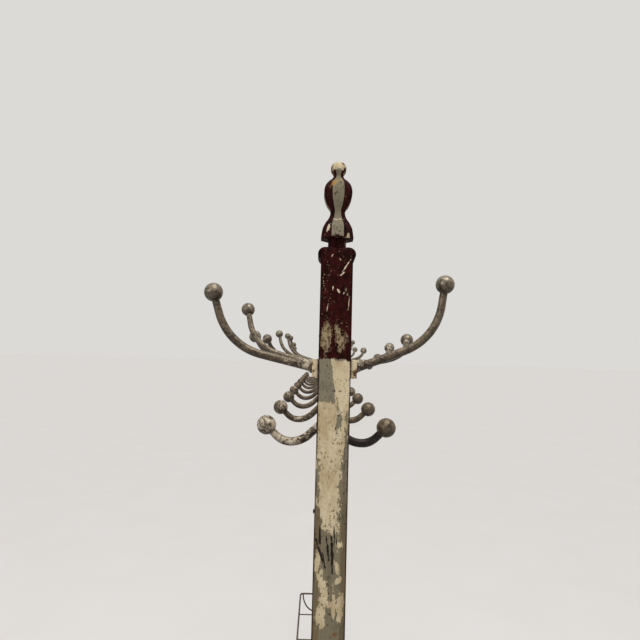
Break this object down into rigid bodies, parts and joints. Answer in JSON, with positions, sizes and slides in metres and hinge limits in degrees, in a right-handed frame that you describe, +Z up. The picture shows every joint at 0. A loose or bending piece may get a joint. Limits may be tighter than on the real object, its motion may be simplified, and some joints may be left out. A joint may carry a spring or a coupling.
{
  "type": "standing coat rack",
  "caption": "Long free-standing coat rack: two painted timber posts with turned finials, flat iron rails carrying ball-ended hooks on both sides, an umbrella rail and a drip tray.",
  "frame": {"origin": "on the floor, under the middle of the rack", "axes": "+Y along the length of the rack from the near post to the far post, +X to the right-hand side seen from the near end, +Z up"},
  "size_m": [0.44, 2.137, 1.858],
  "materials": {
    "post_paint": "flaking layered oil paint, cream and olive over maroon",
    "foot_paint": "worn maroon oil paint",
    "rail_paint": "old cream paint, chipped to rust",
    "worn_iron": "wrought iron worn bright, with paint left in the hollows",
    "dark_iron": "darkened iron rod",
    "bolt_steel": "browned steel",
    "zinc_sheet": "dull galvanised sheet"
  },
  "bodies": {
    "frame": {"near_post": "post_paint", "far_post": "post_paint", "near_foot": "foot_paint", "far_foot": "foot_paint", "stretcher": "foot_paint", "upper_rail_left": "rail_paint", "upper_rail_right": "rail_paint", "lower_rail": "rail_paint", "near_rail_bolt": "bolt_steel", "far_rail_bolt": "bolt_steel", "lower_hook_01": "worn_iron", "lower_hook_02": "worn_iron", "lower_hook_03": "worn_iron", "lower_hook_04": "worn_iron", "lower_hook_05": "worn_iron", "lower_hook_06": "worn_iron", "lower_hook_07": "worn_iron", "lower_hook_08": "worn_iron", "lower_hook_09": "worn_iron", "lower_hook_10": "worn_iron", "umbrella_side_left": "dark_iron", "umbrella_side_right": "dark_iron", "umbrella_end_near": "dark_iron", "umbrella_end_far": "dark_iron", "umbrella_cross_01": "dark_iron", "umbrella_cross_02": "dark_iron", "umbrella_cross_03": "dark_iron", "umbrella_cross_04": "dark_iron", "umbrella_cross_05": "dark_iron", "umbrella_cross_06": "dark_iron", "umbrella_cross_07": "dark_iron", "umbrella_cross_08": "dark_iron", "umbrella_cross_09": "dark_iron", "near_umbrella_bracket": "dark_iron", "far_umbrella_bracket": "dark_iron", "near_bracket_screw": "bolt_steel", "far_bracket_screw": "bolt_steel", "side_screw": "bolt_steel"},
    "drip_tray": {"drip_tray": "zinc_sheet"},
    "upper_hook_left_01": {"upper_hook_left_01": "worn_iron"},
    "upper_hook_left_02": {"upper_hook_left_02": "worn_iron"},
    "upper_hook_left_03": {"upper_hook_left_03": "worn_iron"},
    "upper_hook_left_04": {"upper_hook_left_04": "worn_iron"},
    "upper_hook_left_05": {"upper_hook_left_05": "worn_iron"},
    "upper_hook_left_06": {"upper_hook_left_06": "worn_iron"},
    "upper_hook_left_07": {"upper_hook_left_07": "worn_iron"},
    "upper_hook_left_08": {"upper_hook_left_08": "worn_iron"},
    "upper_hook_left_09": {"upper_hook_left_09": "worn_iron"},
    "upper_hook_left_10": {"upper_hook_left_10": "worn_iron"},
    "upper_hook_right_01": {"upper_hook_right_01": "worn_iron"},
    "upper_hook_right_02": {"upper_hook_right_02": "worn_iron"},
    "upper_hook_right_03": {"upper_hook_right_03": "worn_iron"},
    "upper_hook_right_04": {"upper_hook_right_04": "worn_iron"},
    "upper_hook_right_05": {"upper_hook_right_05": "worn_iron"},
    "upper_hook_right_06": {"upper_hook_right_06": "worn_iron"},
    "upper_hook_right_07": {"upper_hook_right_07": "worn_iron"},
    "upper_hook_right_08": {"upper_hook_right_08": "worn_iron"},
    "upper_hook_right_09": {"upper_hook_right_09": "worn_iron"},
    "upper_hook_right_10": {"upper_hook_right_10": "worn_iron"}
  },
  "joints": [
    {"name": "left_hook_01_swivel", "type": "hinge", "parent": "frame", "child": "upper_hook_left_01", "pos_m": [-0.0228, -1.0125, 1.604], "axis": [1, 0, 0], "continuous": true},
    {"name": "left_hook_02_swivel", "type": "hinge", "parent": "frame", "child": "upper_hook_left_02", "pos_m": [-0.0228, -0.7875, 1.604], "axis": [1, 0, 0], "continuous": true},
    {"name": "left_hook_03_swivel", "type": "hinge", "parent": "frame", "child": "upper_hook_left_03", "pos_m": [-0.0228, -0.5625, 1.604], "axis": [1, 0, 0], "continuous": true},
    {"name": "left_hook_04_swivel", "type": "hinge", "parent": "frame", "child": "upper_hook_left_04", "pos_m": [-0.0228, -0.3375, 1.604], "axis": [1, 0, 0], "continuous": true},
    {"name": "left_hook_05_swivel", "type": "hinge", "parent": "frame", "child": "upper_hook_left_05", "pos_m": [-0.0228, -0.1125, 1.604], "axis": [1, 0, 0], "continuous": true},
    {"name": "left_hook_06_swivel", "type": "hinge", "parent": "frame", "child": "upper_hook_left_06", "pos_m": [-0.0228, 0.1125, 1.604], "axis": [1, 0, 0], "continuous": true},
    {"name": "left_hook_07_swivel", "type": "hinge", "parent": "frame", "child": "upper_hook_left_07", "pos_m": [-0.0228, 0.3375, 1.604], "axis": [1, 0, 0], "continuous": true},
    {"name": "left_hook_08_swivel", "type": "hinge", "parent": "frame", "child": "upper_hook_left_08", "pos_m": [-0.0228, 0.5625, 1.604], "axis": [1, 0, 0], "continuous": true},
    {"name": "left_hook_09_swivel", "type": "hinge", "parent": "frame", "child": "upper_hook_left_09", "pos_m": [-0.0228, 0.7875, 1.604], "axis": [1, 0, 0], "continuous": true},
    {"name": "left_hook_10_swivel", "type": "hinge", "parent": "frame", "child": "upper_hook_left_10", "pos_m": [-0.0228, 1.0125, 1.604], "axis": [1, 0, 0], "continuous": true},
    {"name": "right_hook_01_swivel", "type": "hinge", "parent": "frame", "child": "upper_hook_right_01", "pos_m": [0.0228, -1.0125, 1.604], "axis": [1, 0, 0], "continuous": true},
    {"name": "right_hook_02_swivel", "type": "hinge", "parent": "frame", "child": "upper_hook_right_02", "pos_m": [0.0228, -0.7875, 1.604], "axis": [1, 0, 0], "continuous": true},
    {"name": "right_hook_03_swivel", "type": "hinge", "parent": "frame", "child": "upper_hook_right_03", "pos_m": [0.0228, -0.5625, 1.604], "axis": [1, 0, 0], "continuous": true},
    {"name": "right_hook_04_swivel", "type": "hinge", "parent": "frame", "child": "upper_hook_right_04", "pos_m": [0.0228, -0.3375, 1.604], "axis": [1, 0, 0], "continuous": true},
    {"name": "right_hook_05_swivel", "type": "hinge", "parent": "frame", "child": "upper_hook_right_05", "pos_m": [0.0228, -0.1125, 1.604], "axis": [1, 0, 0], "continuous": true},
    {"name": "right_hook_06_swivel", "type": "hinge", "parent": "frame", "child": "upper_hook_right_06", "pos_m": [0.0228, 0.1125, 1.604], "axis": [1, 0, 0], "continuous": true},
    {"name": "right_hook_07_swivel", "type": "hinge", "parent": "frame", "child": "upper_hook_right_07", "pos_m": [0.0228, 0.3375, 1.604], "axis": [1, 0, 0], "continuous": true},
    {"name": "right_hook_08_swivel", "type": "hinge", "parent": "frame", "child": "upper_hook_right_08", "pos_m": [0.0228, 0.5625, 1.604], "axis": [1, 0, 0], "continuous": true},
    {"name": "right_hook_09_swivel", "type": "hinge", "parent": "frame", "child": "upper_hook_right_09", "pos_m": [0.0228, 0.7875, 1.604], "axis": [1, 0, 0], "continuous": true},
    {"name": "right_hook_10_swivel", "type": "hinge", "parent": "frame", "child": "upper_hook_right_10", "pos_m": [0.0228, 1.0125, 1.604], "axis": [1, 0, 0], "continuous": true},
    {"name": "tray_lift", "type": "slide", "parent": "frame", "child": "drip_tray", "axis": [0, 0, 1], "range_m": [0, 0.1]}
  ]
}
